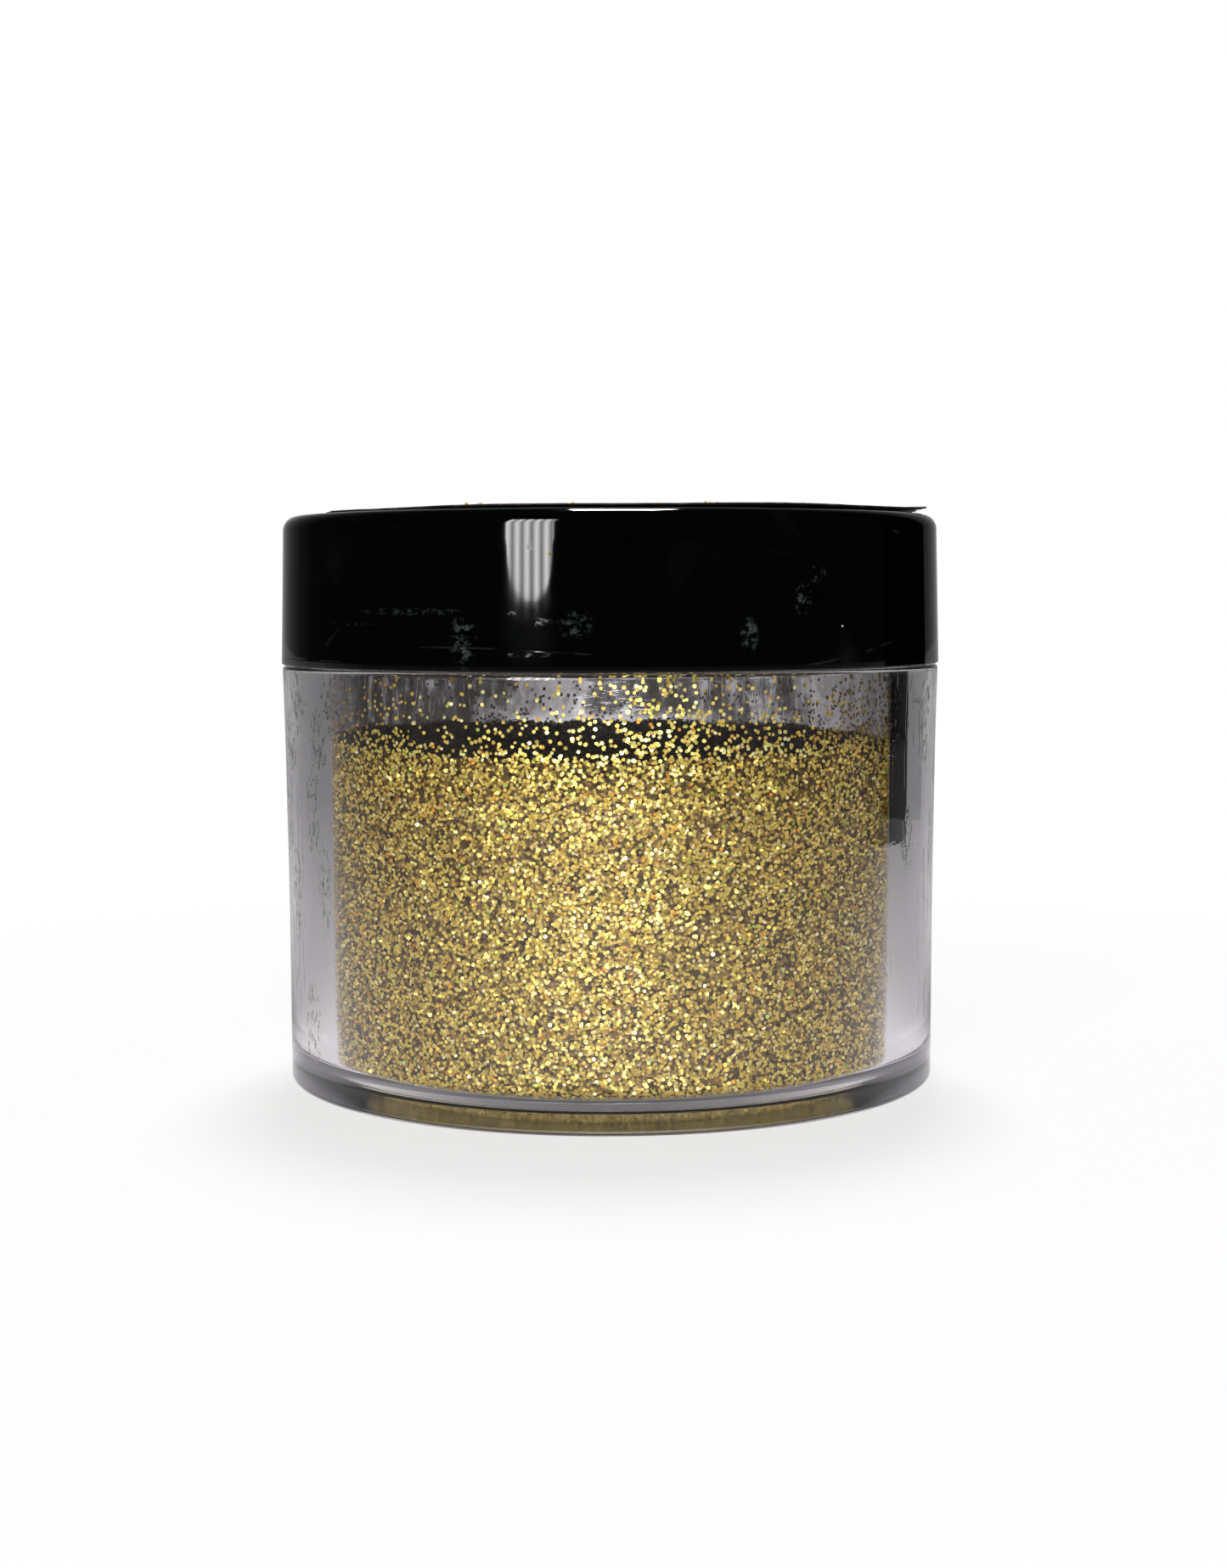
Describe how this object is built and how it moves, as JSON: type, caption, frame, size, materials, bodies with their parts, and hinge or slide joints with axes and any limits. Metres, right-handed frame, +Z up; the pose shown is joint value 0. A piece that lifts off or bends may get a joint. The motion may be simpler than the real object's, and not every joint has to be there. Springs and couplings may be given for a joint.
{
  "type": "gold sample jar",
  "caption": "Round clear thick-walled jar of loose gold flake with a glossy black screw lid, a foam liner and a blank dark label on the lid.",
  "frame": {"origin": "centre of the jar's flat base, on the surface it stands on", "axes": "+Z up along the jar's axis of turning, towards the lid; the front, as pictured, faces -Y, with +X to its right"},
  "size_m": [0.0724, 0.0724, 0.0623],
  "materials": {
    "clear_plastic": "polished, clear",
    "gold_flake": "loose metallised film flakes, sparkling",
    "lid_black": "glossy with fine scratches",
    "liner_foam": "closed-cell foam",
    "label_film": "satin dark film, blank"
  },
  "bodies": {
    "jar": {"jar_body": "clear_plastic", "gold_fill": "gold_flake"},
    "liner": {"lid_liner": "liner_foam"},
    "lid": {"lid_shell": "lid_black", "top_label": "label_film"}
  },
  "joints": [
    {"name": "lid_rise", "type": "slide", "parent": "jar", "child": "liner", "axis": [0, 0, 1], "range_m": [0, 0.01271]},
    {"name": "lid_turn", "type": "hinge", "parent": "liner", "child": "lid", "pos_m": [0, 0, 0.046], "axis": [0, 0, 1], "range_deg": [0, 900]}
  ],
  "couplings": [
    {"joint": "lid_rise", "follows": "lid_turn", "m_per_rad": 0.00080851}
  ]
}
